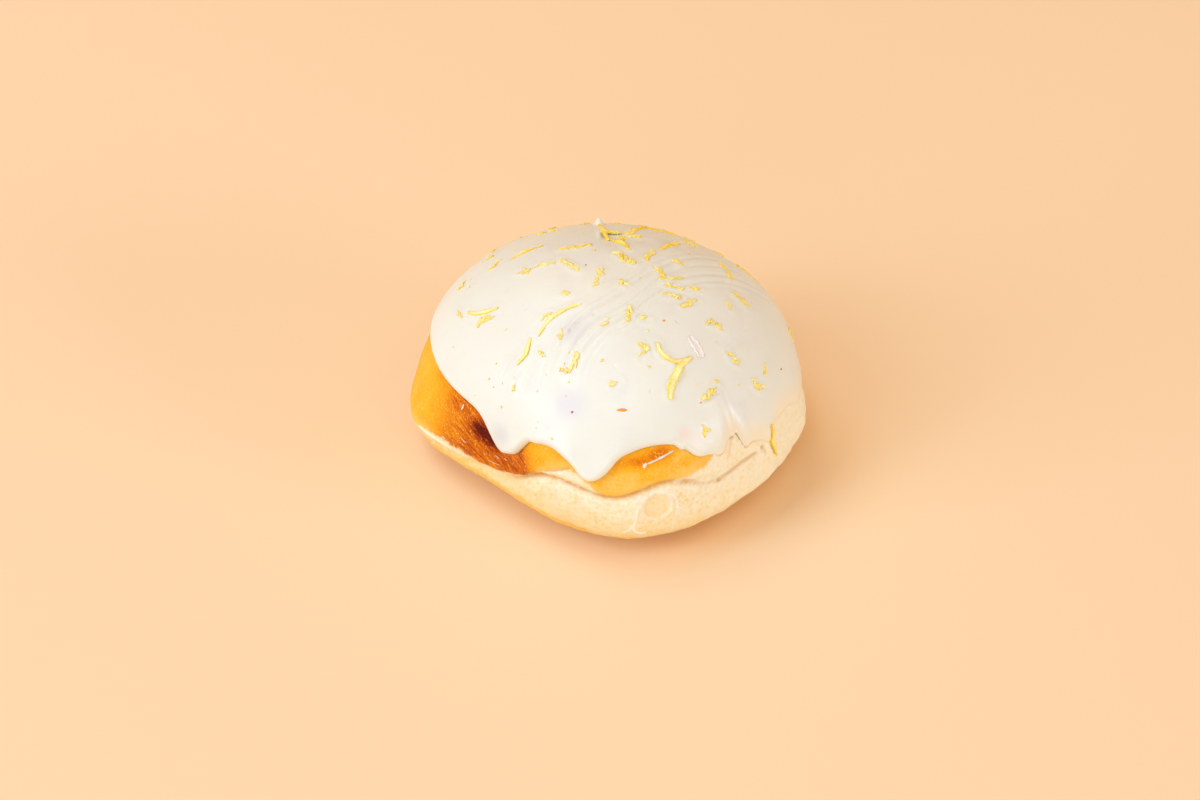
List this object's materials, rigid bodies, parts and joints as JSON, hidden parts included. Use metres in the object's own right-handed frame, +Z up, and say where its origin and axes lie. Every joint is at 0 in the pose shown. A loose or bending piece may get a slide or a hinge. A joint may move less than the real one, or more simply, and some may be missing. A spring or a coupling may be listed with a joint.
{
  "type": "filled doughnut",
  "caption": "Round uncut filled doughnut with a pale band round its foot, a white icing cap that drips down its side, and shreds of lemon zest on top.",
  "frame": {"origin": "middle of the flat that the doughnut rests on, at the level of the surface under it", "axes": "+Z up through the crown; +X to the right and -Y to the front of the side with the icing drips"},
  "size_m": [0.0956, 0.0897, 0.0524],
  "materials": {
    "dough": "fried yeast dough: golden brown crust above a pale, soft band at the foot",
    "icing": "off-white sugar icing with a satin gloss, with yellow zest shreds set in it"
  },
  "bodies": {
    "root": {"dough": "dough", "icing": "icing"}
  },
  "joints": []
}
